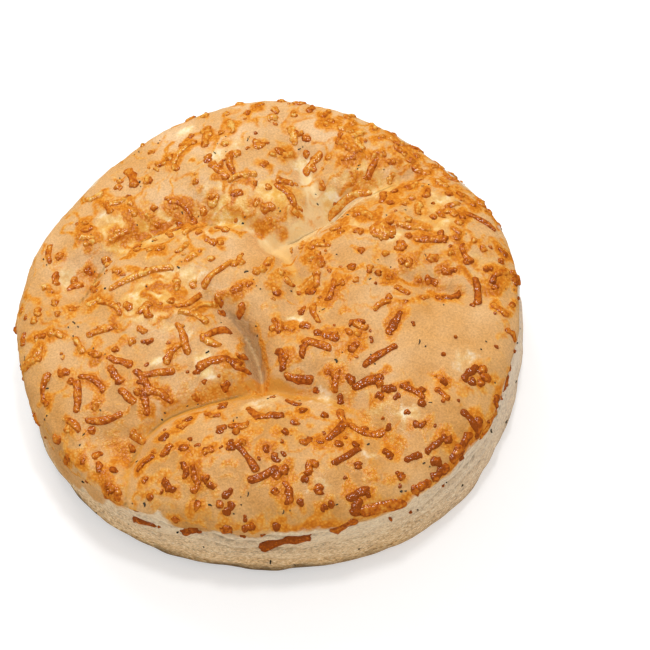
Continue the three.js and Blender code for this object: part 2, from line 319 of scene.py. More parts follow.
# Shreds and slabs that stand out: place on the skin, length, width, heading, bend, toast
STANDOUTS = [
    (-78, -30, 14, 3.2, -1.7, 0.6, 0.8), (-69, -41, 15, 3.0, 0.0, -1.5, 0.6),
    (-12, -111, 24, 5.0, 0.2, 0.5, 0.4), (28, -97, 18, 5.0, 0.1, 0.4, -0.3),
    (13, -104, 12, 5.0, 0.4, 0.2, 0.0), (77, -72, 16, 5.0, 0.8, 0.8, -0.6),
    (66, -70, 10, 3.2, -1.0, 0.3, 0.9), (50, -77, 9, 2.8, 0.5, 0.2, 0.9),
    (43, 43, 21, 2.8, 0.2, 1.2, 0.1), (52, 17, 11, 8.5, -0.2, 0.4, 0.2),
    (38, -38, 16, 3.2, 0.3, 0.4, 0.7), (82, -17, 13, 3.2, -1.7, 0.8, 0.7),
    (-18, -73, 15, 3.2, -1.1, 0.6, 0.6), (-46, 71, 13, 4.6, -1.3, 0.5, 0.8),
    (-59, -34, 9, 3.6, -0.9, 0.3, 0.6), (-69, -89, 13, 3.6, -0.4, 0.4, 0.8),
    (-49, -97, 10, 4.6, 0.3, 0.2, 0.5), (92, 16, 14, 3.0, -0.7, 0.6, 0.8),
    (-47, 17, 27, 3.2, 0.1, 1.2, 0.3), (-17, 12, 18, 3.2, 0.7, 0.8, 0.5),
    (-65, -4, 13, 3.2, 0.1, 0.3, 0.5), (-34, -15, 15, 3.0, -1.4, 0.6, 0.5),
    (-25, -27, 13, 3.6, 0.1, 0.4, 0.6), (-46, -27, 14, 3.0, 0.0, 0.4, 0.6),
]
# Scraps on the lip, too short to be in the solid, given in the same way
LIP_SCRAPS = [(43, -91, 9, 4.0, 0.3, 0.3, -0.1), (51, -87, 9, 4.2, 0.5, 0.3, 0.3),
              (58, -81, 8, 3.6, 0.8, 0.3, 0.0)]
print(len(STANDOUTS), "shreds that stand out,", len(LIP_SCRAPS), "scraps on the lip")


# %% Rule for places
# The solid draws with the same three numbers
COUNTER_PACE = 127.1
CHANNEL_PACE = 311.7
DECIMAL_SHIFT = 43758.5453


def scatter(index, channel):
    """Even numbers between 0 and 1, always the same for the same counters: the far decimals of
    a sine."""
    wave = np.sin(index * COUNTER_PACE + channel * CHANNEL_PACE) * DECIMAL_SHIFT
    return wave - np.floor(wave)


def spiral_places(count, spread, channel):
    """Place i is at i golden angles and at the square root of its share of the area, then
    strays by its own draw."""
    index = np.arange(count)
    reach = spread * np.sqrt((index + 0.5) / count)
    stray = SHRED_SCATTER * scatter(index, channel + 1)
    stray_angle = tau * scatter(index, channel + 2)
    u = reach * np.cos(index * GOLDEN_ANGLE) + stray * np.cos(stray_angle)
    v = reach * np.sin(index * GOLDEN_ANGLE) + stray * np.sin(stray_angle)
    return index, u, v


def grated(count, spread, length, width, shortness, channel):
    """Rods as arrays, one entry a rod: place, size, heading, bend and three free draws."""
    index, u, v = spiral_places(count, spread, channel)
    return {
        "u": u,
        "v": v,
        "length": between(length, scatter(index, channel + 3) ** shortness),
        "width": between(width, scatter(index, channel + 4)),
        "heading": pi * scatter(index, channel + 5),
        "bend": SHRED_BEND * (2 * scatter(index, channel + 6) - 1),
        "toast": scatter(index, channel + 7),
        "melt": scatter(index, channel + 8),
        "taper": 2 * scatter(index, channel + 9) - 1,
    }


print("lengths of the first shreds in mm:", grated(**SHREDS)["length"][:5].round(1))


# %% Lots of rods
def placed(rows):
    """Rods given one by one as the same arrays, with no melt and no taper."""
    names = ("u", "v", "length", "width", "heading", "bend", "toast")
    rods = dict(zip(names, np.array(rows).T))
    rods["melt"] = rods["taper"] = 0 * rods["u"]
    return rods


def keep(rods, kept):
    """The rods for which kept is true."""
    return {name: values[kept] for name, values in rods.items()}


def join(*lots):
    """Several lots of rods as one."""
    return {name: np.concatenate([lot[name] for lot in lots]) for name in lots[0]}


print("the longest shred placed by hand: %.0f mm" % placed(STANDOUTS)["length"].max())


# %% Where cheese stays
DEEPEST_FOR_SHREDS = 6.0  # cheese in deeper creases melted away
DEEPEST_FOR_CRUMBS = 8.0
SHORTEST_FUSED = 9.5  # the solid has the shreds from this length on
BARE_RIM = (90.0, 1.75, 2.95)  # no short shreds beyond this distance, between these angles
STANDOUT_ROOM = 0.4  # the others stay this share of a shred's length away from its middle
GAP_ROOM = 5.3  # how much further from a shred's room a short one needs to fall
GAP_CROWDING = 3.8  # how much closer they lie where the cheese fell thickly
THICK_FROM = (25, 60)  # it fell thickly at the right of the back: from none to most along x
THICK_BEHIND = (-35, -5)  # and along y

# Bare crust where only a few crumbs of cheese fell: x, y, radius
BARE_CRUST = [(64, -35, 18), (-86, -8, 8), (0, 24, 9)]


def within(spots, u, v):
    """Which places lie inside any of the circles, each given as x, y and radius."""
    return np.any([np.hypot(u - x, v - y) < radius for x, y, radius in spots], axis=0)


def on_bare_rim(rods):
    """Which rods are too short to be in the solid and lie on the bare stretch of the rim."""
    distance, angle = np.hypot(rods["u"], rods["v"]), np.arctan2(rods["v"], rods["u"])
    return ((rods["length"] < SHORTEST_FUSED) & (distance > BARE_RIM[0])
            & (angle > BARE_RIM[1]) & (angle < BARE_RIM[2]))


def settled(rods, deepest, bare_spots):
    """The rods that stay where they fell: not in a deep crease, a bare spot or the bare rim."""
    kept = crease_depth(rods["u"], rods["v"]) < deepest
    return keep(rods, kept & ~within(bare_spots, rods["u"], rods["v"]) & ~on_bare_rim(rods))


def thickness_of_fall(rods):
    """How thickly the cheese fell: 0 on most of the loaf, and up to 1 at the right of the back."""
    return ease(*THICK_FROM, rods["u"]) * ease(*THICK_BEHIND, rods["v"])


print("bare spots of the crust, in mm across:", [2 * radius for _, _, radius in BARE_CRUST])


# %% Browned shreds, crumbs and melted strands
standout_rooms = [(row[0], row[1], STANDOUT_ROOM * row[2]) for row in STANDOUTS]
shreds = grated(**SHREDS)
shreds = keep(shreds, np.hypot(shreds["u"], shreds["v"]) < SHRED_SPREAD)
shreds = settled(shreds, DEEPEST_FOR_SHREDS, BARE_CRUST + standout_rooms)
shreds = join(shreds, placed(STANDOUTS + LIP_SCRAPS))
fillers = grated(**GAP_SHREDS)
room = np.hypot(fillers["u"][:, None] - shreds["u"], fillers["v"][:, None] - shreds["v"])
room = (room - STANDOUT_ROOM * shreds["length"]).min(1)
room += GAP_CROWDING * thickness_of_fall(fillers)
fillers = settled(keep(fillers, room > GAP_ROOM), DEEPEST_FOR_SHREDS, BARE_CRUST)
shreds = join(shreds, fillers)
crumbs = settled(grated(**CRUMBS), DEEPEST_FOR_CRUMBS, [])
strands = grated(**STRANDS)
strands = keep(strands, ~within(BARE_CRUST, strands["u"], strands["v"]))
for kind, rods in {"shreds": shreds, "crumbs": crumbs, "strands": strands}.items():
    print(len(rods["u"]), kind)

# %% [markdown]
# ## Finishes: helpers
# Every material is a network of Blender's own patterns, so no picture is needed. One function adds a
# node with its settings and links, and one turns the hex colours that we read off into the linear
# light values that Blender mixes.

# %% Nodes and colours
MIX_A, MIX_B, MIX_OUT = 6, 7, 2  # the colour inputs and the colour output of a Mix node


def linear(colour):
    """An sRGB hex colour as linear red, green, blue and alpha, by the sRGB curve."""
    channels = np.array([int(colour[k:k + 2], 16) for k in (1, 3, 5)]) / 255
    light = np.where(channels <= 0.04045, channels / 12.92, ((channels + 0.055) / 1.055) ** 2.4)
    return (*light.tolist(), 1.0)


def put(tree, kind, links=(), stops=(), **settings):
    """Adds one node. links gives a value or another node's output to each named or numbered
    input, stops are a colour ramp's places and colours, and settings are the node's own."""
    node = tree.nodes.new("ShaderNode" + kind)
    for name, value in settings.items():
        setattr(node, name, value)
    for socket, value in dict(links).items():
        if isinstance(value, bpy.types.NodeSocket):
            tree.links.new(value, node.inputs[socket])
        else:
            node.inputs[socket].default_value = value
    for number, (place, colour) in enumerate(stops):
        ramp = node.color_ramp.elements
        element = ramp[number] if number < 2 else ramp.new(place)
        element.position, element.color = place, linear(colour)
    return node


def new_material(name):
    """An empty material and its node tree."""
    material = bpy.data.materials.new(name)
    material.use_nodes = True
    material.node_tree.nodes.clear()
    return material, material.node_tree


def layered(tree, colour, *layers):
    """A colour with others laid over it in turn, each given with its share and its blend."""
    for layer, share, blend in layers:
        mix = put(tree, "Mix", {0: share, MIX_A: colour, MIX_B: layer}, data_type="RGBA",
                  blend_type=blend)
        colour = mix.outputs[MIX_OUT]
    return colour


print("middle grey as linear light: %.3f" % linear("#808080")[0])


# %% [markdown]
# ## Finish: baked crust
# Crust is dough that dried and browned in the oven. The eye sees a golden tan that is paler in the
# folds, which the heat reached late, fine grain from the bubbles under the skin, and a dull sheen.
# Melted cheese lies on it in gold and cream pools, with orange strands through them. The wall below
# the lip is paler, grained and cracked in layers, and its foot is darker, partly scorched and partly a
# painted contact shadow. Painted shade also darkens the front of the top, some crease bottoms and the
# wall's grooves, and the melt's bubbles carry painted highlight and shade. All this could be painted,
# but masks on the mesh, with edges torn by noise, stay sharp from close by.

# %% Sizes of the crust's patterns
BUBBLE_SIZE = 1.2  # of the bubbles that burst in melted cheese, in millimetres
SWIRL_SIZE = 3.0  # the bubbles are strayed by swirls of this size
SWIRL_REACH = 2.0  # and by this much
MASKS = ("pool", "strand", "cream", "fold", "pit", "line", "wall", "groove")

# Noises: size in millimetres, squeeze in height, detail, roughness
NOISES = {
    "blotch": (24, 1, 3, 0.45),  # where the oven browned more or less
    "grain": (0.8, 1, 2, 0.7),  # small bubbles under the skin
    "ragged": (4.5, 1, 5, 0.66),  # the way melted cheese spreads
    "granule": (1.3, 2.5, 3, 0.65),  # grain of the wall's dough
    "layer": (16, 6, 4, 0.6),  # layers in which that dough rose
}
# Slow changes over the loaf: axis, start and end in millimetres, value at each
SLOPES = {
    "backward": ("Y", -30, 40, 0.0, 1.0),
    "upward": ("Z", 8, 28, 0.0, 0.5),
    "rightward": ("X", 30, 95, 0.0, 0.4),
    "leftward": ("X", -10, 40, 1.0, 0.3),
}
# Torn masks: from which mask, how much noise joins it, where its step begins and ends
TORN = {
    "streaked": ("fold", 1.3, 0.25, 0.85),
    "golden": ("melt", 1.0, 0.42, 0.92),
    "creamy": ("cream", 1.0, 0.25, 0.9),
    "wet": ("strand", 0.9, 0.25, 0.7),
    "shiny": ("melt", 1.0, 0.2, 0.5),
    "doughy": ("wall", 0.9, 0.3, 0.7),
}
print(len(MASKS), "masks,", len(NOISES), "noises,", len(SLOPES), "slopes,", len(TORN), "torn masks")


# %% Patterns of the crust
def burst_bubbles(tree, place):
    """Cells that swirls pushed out of shape: 0 in the middle of a bubble and more at its rim."""
    swirl = put(tree, "TexNoise", {"Vector": place, "Scale": 1 / (SWIRL_SIZE * MM)})
    strayed = put(tree, "VectorMath", {0: swirl.outputs["Color"], 1: [SWIRL_REACH * MM] * 3, 2: place},
                  operation="MULTIPLY_ADD")
    cells = {"Vector": strayed.outputs[0], "Scale": 1 / (BUBBLE_SIZE * MM)}
    return put(tree, "TexVoronoi", cells).outputs["Distance"]


def torn(tree, noise, mask, share, low, high):
    """A mask with a ragged edge: noise added to it, then a smooth step."""
    total = put(tree, "Math", {0: noise, 1: share, 2: mask}, operation="MULTIPLY_ADD").outputs[0]
    step = {"Value": total, "From Min": low + share / 2, "From Max": high + share / 2}
    return put(tree, "MapRange", step, interpolation_type="SMOOTHSTEP").outputs["Result"]


def crust_patterns(tree):
    """Every pattern of the crust by its name, as the output of a node."""
    place = put(tree, "TexCoord").outputs["Object"]
    found = {"place": place, "bubbles": burst_bubbles(tree, place)}
    for name in MASKS:
        found[name] = put(tree, "Attribute", attribute_name=name).outputs["Fac"]
    for name, (size, squeeze, detail, roughness) in NOISES.items():
        squeezed = put(tree, "Mapping", {"Vector": place, "Scale": (1, 1, squeeze)}).outputs[0]
        found[name] = put(tree, "TexNoise", {
            "Vector": squeezed, "Scale": 1 / (size * MM), "Detail": detail,
            "Roughness": roughness}).outputs["Fac"]
    sides = put(tree, "SeparateXYZ", {"Vector": place}).outputs
    found["height"] = sides["Z"]
    for name, (axis, start, end, first, last) in SLOPES.items():
        found[name] = put(tree, "MapRange", {
            "Value": sides[axis], "From Min": start * MM, "From Max": end * MM,
            "To Min": first, "To Max": last}).outputs["Result"]
    found["melt"] = put(tree, "Math", {0: found["pool"], 1: found["strand"]},
                        operation="MAXIMUM").outputs[0]
    for name, (mask, share, low, high) in TORN.items():
        found[name] = torn(tree, found["ragged"], found[mask], share, low, high)
    return SimpleNamespace(**found)


# %% Colour of the top
SHADED_FRONT_SIDE = (0.0, -1.0)  # painted shade: the tan is darkest at the front, which gets the least light
FRONT_SHADE = 0.16  # how far the tan moves down its ramp from the middle to that side
GRAIN_LIMITS = (0.3, 0.7)  # between these values of the grain
SPECKLE = (0.8, 1.15)  # the tan is darkened or lightened by these factors
TAN = [(0.2, "#CC8E46"), (0.4, "#DAA260"), (0.6, "#E0AF75"), (0.78, "#E9C090")]
STREAKS = [(0.3, "#D8963C"), (0.6, "#E2AC58"), (0.9, "#F0D29C")]  # from the front to the back
GOLD = [(0.36, "#DE9638"), (0.47, "#E8AE4E"), (0.59, "#F2CC84"), (0.72, "#FAEACA")]
CREAM = [(0.36, "#E8B868"), (0.5, "#F2D496"), (0.64, "#FAECCE")]
AMBER = [(0.2, "#F6CE86"), (0.36, "#ECAA48"), (0.55, "#DF8A26"), (0.8, "#C66C14")]  # by depth
BUBBLE_SHADING = 0.45  # how much the bubbles add to the amber's depth: a painted highlight in their middles and painted shade at their rims
STRAND_DEPTH = 0.5  # and how much the strand does
CREASE_SHADE = "#7A5626"


def top_colour(tree, on):
    """Speckled tan, darker at the front by painted shade, under streaks in the folds, gold, cream,
    amber strands with painted bubble highlights, and crease lines of painted shade.
    """
    # Painted shade: the tan darkens towards the front
    lean = put(tree, "VectorMath", {0: on.place, 1: (*SHADED_FRONT_SIDE, 0)}, operation="DOT_PRODUCT")
    paleness = put(tree, "Math", {0: lean.outputs["Value"], 1: -FRONT_SHADE / (LOAF_RADIUS * MM),
                                  2: on.blotch}, operation="MULTIPLY_ADD")
    speckle = put(tree, "MapRange", {
        "Value": on.grain, "From Min": GRAIN_LIMITS[0], "From Max": GRAIN_LIMITS[1],
        "To Min": SPECKLE[0], "To Max": SPECKLE[1]})
    thick = put(tree, "Math", {0: on.strand, 1: STRAND_DEPTH}, operation="MULTIPLY")
    # Painted highlight and shade: the amber is paler in each bubble's middle and deeper at its rim
    depth = put(tree, "Math", {0: on.bubbles, 1: BUBBLE_SHADING, 2: thick.outputs[0]},
                operation="MULTIPLY_ADD")
    tan, streaks, gold, cream, amber = (
        put(tree, "ValToRGB", {"Fac": value}, stops=stops).outputs["Color"]
        for value, stops in ((paleness.outputs[0], TAN), (on.backward, STREAKS), (on.ragged, GOLD),
                             (on.ragged, CREAM), (depth.outputs[0], AMBER)))
    return layered(tree, tan, (speckle.outputs["Result"], 1.0, "MULTIPLY"),
                   (streaks, on.streaked, "MIX"), (gold, on.golden, "MIX"),
                   (cream, on.creamy, "MIX"), (amber, on.wet, "MIX"),
                   (linear(CREASE_SHADE), on.line, "MIX"))


# %% Colour of the wall
DOUGH = [(0.34, "#94642F"), (0.45, "#D8A86C"), (0.55, "#E8BE84"), (0.68, "#FFE8C0")]
CRACK_WIDTH = 0.018  # on the scale of the layers' noise
CRACK_SHADE = 0.55
PALE_TOP = "#F0E0C4"  # paler under the lip
# paler towards the right
PALE_RIGHT = "#E6DACC"
GROOVE_SHADE = "#70502A"
# The foot's dark colour is partly a scorched base and partly a painted contact shadow, most at the
# left
SCORCH_AND_SHADOW = "#5C4526"
SCORCH_AND_SHADOW_HEIGHT = (10.0, 16.5)  # where the darkening begins to fade, and ends, before it is torn
SCORCH_AND_SHADOW_TEAR = 12.0  # most that noise adds to the height
SCORCH_AND_SHADOW_STRENGTH = 0.85


def wall_colour(tree, on):
    """Grained dough, cracked where the layers' noise crosses its middle value, paler upwards and to
    the right, and darkened in its grooves by painted shade."""
    offset = put(tree, "Math", {0: on.layer, 1: 0.5}, operation="SUBTRACT").outputs[0]
    gap = put(tree, "Math", {0: offset}, operation="ABSOLUTE").outputs[0]
    crack = put(tree, "MapRange", {"Value": gap, "From Max": CRACK_WIDTH, "To Min": CRACK_SHADE,
                                   "To Max": 1.0})
    dough = put(tree, "ValToRGB", {"Fac": on.granule}, stops=DOUGH)
    return layered(tree, dough.outputs["Color"], (crack.outputs["Result"], 1.0, "MULTIPLY"),
                   (linear(PALE_TOP), on.upward, "MIX"),
                   (linear(PALE_RIGHT), on.rightward, "MIX"),
                   (linear(GROOVE_SHADE), on.groove, "MIX"))


def scorch_and_shadow(tree, on):
    """How dark the foot is, partly scorch and partly painted contact shadow: most at the base, fading
    over a torn edge, less to the right.
    """
    torn_height = put(tree, "Math", {0: on.ragged, 1: SCORCH_AND_SHADOW_TEAR * MM, 2: on.height},
                      operation="MULTIPLY_ADD").outputs[0]
    fade = put(tree, "MapRange", {
        "Value": torn_height, "From Min": SCORCH_AND_SHADOW_HEIGHT[0] * MM, "From Max": SCORCH_AND_SHADOW_HEIGHT[1] * MM,
        "To Min": SCORCH_AND_SHADOW_STRENGTH, "To Max": 0.0}).outputs["Result"]
    return put(tree, "Math", {0: fade, 1: on.leftward}, operation="MULTIPLY").outputs[0]


# %% Crust material
PIT_SHADE = "#DECDB0"  # bare dough in the deepest crease lies in its own shade
GRAIN_RELIEF = 0.5
BUBBLE_RELIEF = 0.3
DRY_ROUGHNESS = 0.55
OILY_ROUGHNESS = 0.26


def crust_material():
    """Baked crust, dull where it is dry and oily where cheese melted on it."""
    material, tree = new_material("baked_crust")
    on = crust_patterns(tree)
    below = put(tree, "Math", {0: on.doughy, 1: on.pit}, operation="MAXIMUM").outputs[0]
    colour = layered(tree, top_colour(tree, on), (wall_colour(tree, on), below, "MIX"),
                     (linear(PIT_SHADE), on.pit, "MULTIPLY"),
                     (linear(SCORCH_AND_SHADOW), scorch_and_shadow(tree, on), "MIX"))
    relief = put(tree, "Mix", {0: below, 2: on.grain, 3: on.granule}).outputs[0]
    grained = put(tree, "Bump", {"Height": relief, "Strength": 0.5, "Distance": GRAIN_RELIEF * MM})
    bubbled = put(tree, "Bump", {
        "Height": on.bubbles, "Strength": on.wet, "Distance": BUBBLE_RELIEF * MM,
        "Normal": grained.outputs[0]}, invert=True)
    roughness = put(tree, "MapRange", {"Value": on.shiny, "To Min": DRY_ROUGHNESS,
                                       "To Max": OILY_ROUGHNESS})
    skin = put(tree, "BsdfPrincipled", {
        "Base Color": colour, "Roughness": roughness.outputs["Result"], "IOR": 1.45,
        "Specular IOR Level": 0.16, "Normal": bubbled.outputs[0]})
    put(tree, "OutputMaterial", {"Surface": skin.outputs[0]})
    return material


baked_crust = crust_material()
print("baked crust:", len(baked_crust.node_tree.nodes), "nodes")

# %% [markdown]
# ## Finish: browned cheese
# Cheese browns from its thin margin inwards: gold where it only melted, orange on its back, and red
# brown where it is crisp. Its margin, its front and its right side are also darkened by painted shade,
# and its blisters carry a painted highlight in their middles. Its skin blistered, and it sweats oil,
# so it glints. Shreds of different browns could have a material each, but one serves them all here,
# because each point of the mesh carries how far it is toasted.

# %% Cheese material
MOTTLE_SIZE = 1.8
MOTTLE_SHARE = 1.3  # how much the mottle adds to the toast
BLISTER_SHADING = 0.35  # and how much the blisters do: a painted highlight in their middles and painted shade at their rims
BLISTER_RELIEF = 0.4
TOASTED = [(0.2, "#EDBC66"), (0.34, "#E8A444"), (0.46, "#DF8E2E"), (0.6, "#D27A20"),
           (0.74, "#C86A16"), (0.88, "#B65A12"), (1.0, "#9C4A10")]


def cheese_material():
    """Browned cheese: toast, mottle and blisters together find the colour on one ramp, and the
    blisters are painted lighter in their middles and darker at their rims as highlight and shade.
    """
    material, tree = new_material("browned_cheese")
    place = put(tree, "TexCoord").outputs["Object"]
    toast = put(tree, "Attribute", attribute_name="toast").outputs["Fac"]
    mottle = put(tree, "TexNoise", {"Vector": place, "Scale": 1 / (MOTTLE_SIZE * MM),
                                    "Detail": 3.0}).outputs["Fac"]
    blisters = put(tree, "TexVoronoi", {"Vector": place,
                                        "Scale": 1 / (BUBBLE_SIZE * MM)}).outputs["Distance"]
    # Painted highlight and shade: each blister is lighter in its middle and browner at its rim
    spots = put(tree, "Math", {0: blisters, 1: BLISTER_SHADING, 2: toast}, operation="MULTIPLY_ADD")
    shade = put(tree, "Math", {0: mottle, 1: MOTTLE_SHARE, 2: spots.outputs[0]},
                operation="MULTIPLY_ADD")
    browned = put(tree, "ValToRGB", {"Fac": shade.outputs[0]}, stops=TOASTED)
    bump = put(tree, "Bump", {"Height": blisters, "Strength": 1.0, "Distance": BLISTER_RELIEF * MM},
               invert=True)
    skin = put(tree, "BsdfPrincipled", {
        "Base Color": browned.outputs["Color"], "Roughness": 0.2, "IOR": 1.45,
        "Specular IOR Level": 0.4, "Normal": bump.outputs[0]})
    put(tree, "OutputMaterial", {"Surface": skin.outputs[0]})
    return material


browned_cheese = cheese_material()
print("browned cheese:", len(browned_cheese.node_tree.nodes), "nodes")

# %% [markdown]
# ## Finish: dried herbs
# Crumbled dry leaves look nearly black or dark olive brown, and dull. Veins could be drawn on
# them, but they are too small for veins to show, so a change of colour from fleck to fleck is
# enough.

# %% Herb material
LEAF = [(0.35, "#2A2014"), (0.65, "#4E4026")]
LEAF_MOTTLE_SIZE = 4.0


def herb_material():
    """Dried herb: dark leaf colours, changing slowly over the loaf."""
    material, tree = new_material("dried_herb")
    place = put(tree, "TexCoord").outputs["Object"]
    mottle = put(tree, "TexNoise", {"Vector": place, "Scale": 1 / (LEAF_MOTTLE_SIZE * MM),
                                    "Detail": 2.0})
    leaf = put(tree, "ValToRGB", {"Fac": mottle.outputs["Fac"]}, stops=LEAF)
    skin = put(tree, "BsdfPrincipled", {"Base Color": leaf.outputs["Color"], "Roughness": 0.8})
    put(tree, "OutputMaterial", {"Surface": skin.outputs[0]})
    return material


dried_herb = herb_material()
print("dried herb:", len(dried_herb.node_tree.nodes), "nodes")

# %% [markdown]
# ## From arrays to pieces
# The loaf, a shred and a herb fleck are the same kind of skin: rings of points strung between
# two end points. Each could be modelled by hand, but then every shred would need its own faces.
# So one function lists the faces for all of them, however many copies there are.


# %% Skins and pieces
def skin_faces(rings, around, copies=1):
    """Faces of closed skins, each an end point, its rings and another end point: squares between
    neighbouring rings, and a fan of triangles at each end."""
    spot = np.arange(around)
    after = (spot + 1) % around
    ring = np.arange(rings - 1)[:, None] * around + 1
    squares = np.stack([ring + after, ring + spot, ring + around + spot, ring + around + after], -1)
    last = rings * around + 1
    fans = np.concatenate([
        np.stack([0 * spot, spot + 1, after + 1], -1),
        np.stack([0 * spot + last, last - around + after, last - around + spot], -1)])
    shift = np.arange(copies)[:, None, None] * (last + 1)
    squares = (squares.reshape(1, -1, 4) + shift).reshape(-1, 4)
    return squares.tolist() + (fans[None] + shift).reshape(-1, 3).tolist()


def make_piece(name, points, faces, material, slot, **masks):
    """A mesh piece at the origin that rides on the loaf's body, with one number a point for
    each mask."""
    mesh = bpy.data.meshes.new(name)
    mesh.from_pydata((points.reshape(-1, 3) * MM).tolist(), [], faces)
    mesh.shade_smooth()
    for mask, values in masks.items():
        attribute = mesh.attributes.new(mask, "FLOAT", "POINT")
        attribute.data.foreach_set("value", np.ascontiguousarray(values.ravel(), np.float32))
    mesh.materials.append(material)
    piece = bpy.data.objects.new(name, mesh)
    bpy.context.scene.collection.objects.link(piece)
    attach(piece, "root")
    print(f"{name}: {len(mesh.vertices)} points, {sum(len(face) - 2 for face in faces)} triangles")
    return piece


print(len(skin_faces(9, 7)), "faces in a skin of 9 rings with 7 points each")

# %% [markdown]
# ## The loaf
# The unrolled skin is a disc of rings round the middle of the top, the last one round the middle
# of the base. Laid back on the loaf, the rings are the whole closed skin. Melted cheese stands a
# little above the crust, so its mask is worked out first, on the unrolled skin, and lifts it.

# %% Loaf skin
AROUND = 640
CRUST_ROWS = 150
BASE_ROWS = 4
reaches = np.concatenate([
    np.linspace(0, BASE_REACH, CRUST_ROWS + 1)[1:],
    np.linspace(BASE_REACH, section_reach[-1], BASE_ROWS + 2)[1:-1]])
angles = np.linspace(0, tau, AROUND, endpoint=False)
loaf_u = np.concatenate([[0], np.outer(reaches, np.cos(angles)).ravel(), [section_reach[-1]]])
loaf_v = np.concatenate([[0], np.outer(reaches, np.sin(angles)).ravel(), [0]])
loaf_places = flat(loaf_u, loaf_v)
loaf_angle = np.arctan2(loaf_v, loaf_u)
print("loaf rows:", len(reaches))

# %% Where the crust ends
CRUST_END = (-3, 4)  # melt fades out between these distances past the lip
WALL_START = (-5, 4)  # and the wall's dough fades in between these
# The crust runs down the wall at the left: how far, round which angle, how wide in radians
LOW_CRUST = (22.0, 3.5, 0.36)
RIM_WAVES = [(28, 2.5, 26), (9, 1.4, 28)]  # its edge is uneven: wavelength, swing, seed
LIP_MELT = (-1.75, -0.5)  # the angles between which melted cheese runs along the lip
LIP_MELT_FADE = 0.1  # it fades out within this angle
STEADY_RIM = 0.7  # there the edge is steadier by this share


def turn_from(middle, angle):
    """How far each angle is turned from a middle one, between minus and plus half a turn."""
    return (angle - middle + pi) % tau - pi


low_crust = LOW_CRUST[0] * bell(turn_from(LOW_CRUST[1], loaf_angle), LOW_CRUST[2])
past_lip = np.hypot(loaf_u, loaf_v) - low_crust - LIP_REACH
at_lip_melt = (ease(0, LIP_MELT_FADE, loaf_angle - LIP_MELT[0])
               * ease(0, LIP_MELT_FADE, LIP_MELT[1] - loaf_angle))
rim_stray = waves(loaf_places, RIM_WAVES) * (1 - STEADY_RIM * at_lip_melt)
on_crust = 1 - ease(*CRUST_END, past_lip)
wall = ease(*WALL_START, past_lip + rim_stray)
print("crust and lip hold %.0f%% of the points" % (100 * (on_crust > 0).mean()))

# %% Where cheese melted
# Pools of gold: x, y, radius, strength
POOLS = [
    (-55, 47, 14, 0.6), (-10, 66, 17, 0.6), (14, 44, 12, 0.9), (46, 54, 16, 0.7),
    (44, 24, 10, 0.7), (22, 22, 10, 0.6), (16, 0, 8, 0.7), (-34, 14, 20, 0.6), (-52, 4, 13, 0.5),
    (-34, -8, 15, 0.4), (-36, -33, 13, 0.4), (-66, -52, 11, 0.3), (70, 10, 15, 0.6),
    (-30, 44, 12, 0.8), (-50, 41, 11, 0.8), (-8, 40, 11, 0.9), (34, -50, 12, 0.45),
    (36, -66, 15, 0.45), (-8, -50, 14, 0.5), (6, -86, 10, 0.45), (62, 42, 13, 0.6),
    (80, 26, 13, 0.6), (86, -6, 10, 0.6), (52, -16, 12, 0.5),
]
# Melt that ran into the creases and over the lip: x, y, radius, strength
RUNS = [
    (-70, -81, 5, 0.6), (-74, -63, 5, 0.8), (-73, -70, 5, 0.9), (-76, -76, 4, 0.9),
    (-22, -37, 6, 0.6), (-32, -38, 6, 0.7), (-43, -40, 5, 0.6), (-55, -47, 5, 0.5),
    (-64, -57, 6, 0.6), (-18, -26, 5, 0.5), (8, -43, 5, 0.5), (20, -50, 6, 0.6), (28, -60, 6, 0.6),
    (12, 8, 5, 0.5), (14, -6, 4, 0.5), (-67, -50, 8, 0.55), (60, 24, 4, 0.6), (72, 20, 4, 0.6),
    (84, 12, 4, 0.6), (64, 6, 4, 0.5), (88, 30, 4, 0.6), (80, -2, 4, 0.5), (70, 36, 4, 0.6),
    (90, 2, 3, 0.6), (8, 34, 5, 0.6), (20, 48, 5, 0.5), (1, 34, 5, 0.6), (12, 30, 3, 0.5),
    (24, 36, 3, 0.5),
]
# Cream that melted without browning: x, y, radius, strength
CREAMS = [
    (36, 43, 7, 1.0), (26, 60, 7, 0.7), (-11, 68, 5, 0.9), (-28, 12, 5, 0.8), (-58, 52, 7, 0.6),
    (-77, 26, 9, 0.7), (58, 14, 5, 0.9), (74, 12, 4, 0.9), (80, 24, 4, 0.7), (42, -64, 6, 0.7),
    (14, -48, 6, 0.6), (-14, -51, 6, 0.7), (8, -88, 5, 0.6), (70, -48, 7, 0.5), (-45, -23, 3, 0.9),
    (0, 72, 6, 0.6), (-19, 89, 5, 0.8), (27, -77, 4, 0.6), (-34, -11, 5, 0.6), (-28, -31, 5, 0.8),
    (-27, -24, 4, 0.6), (10, -13, 3, 0.8), (-4, -46, 5, 0.7),
]
MELT_SWING = 1.0  # soft waves of this swing
MELT_WAVELENGTH = 7.0  # and this length make the outlines of melt uneven
MELT_SEED = 21
MOST_POOL = 1.2
melt_u, melt_v = (column + MELT_SWING * ripples(loaf_places, MELT_WAVELENGTH, MELT_SEED + number)
                  for number, column in enumerate((loaf_u, loaf_v)))
melt_places = flat(melt_u, melt_v)
pool = np.clip(bumps(POOLS, melt_u, melt_v), 0, MOST_POOL) * on_crust
runs = bumps(RUNS, melt_u, melt_v)
cream = bumps(CREAMS, melt_u, melt_v)
print(len(POOLS), "pools,", len(RUNS), "runs,", len(CREAMS), "spots of cream")

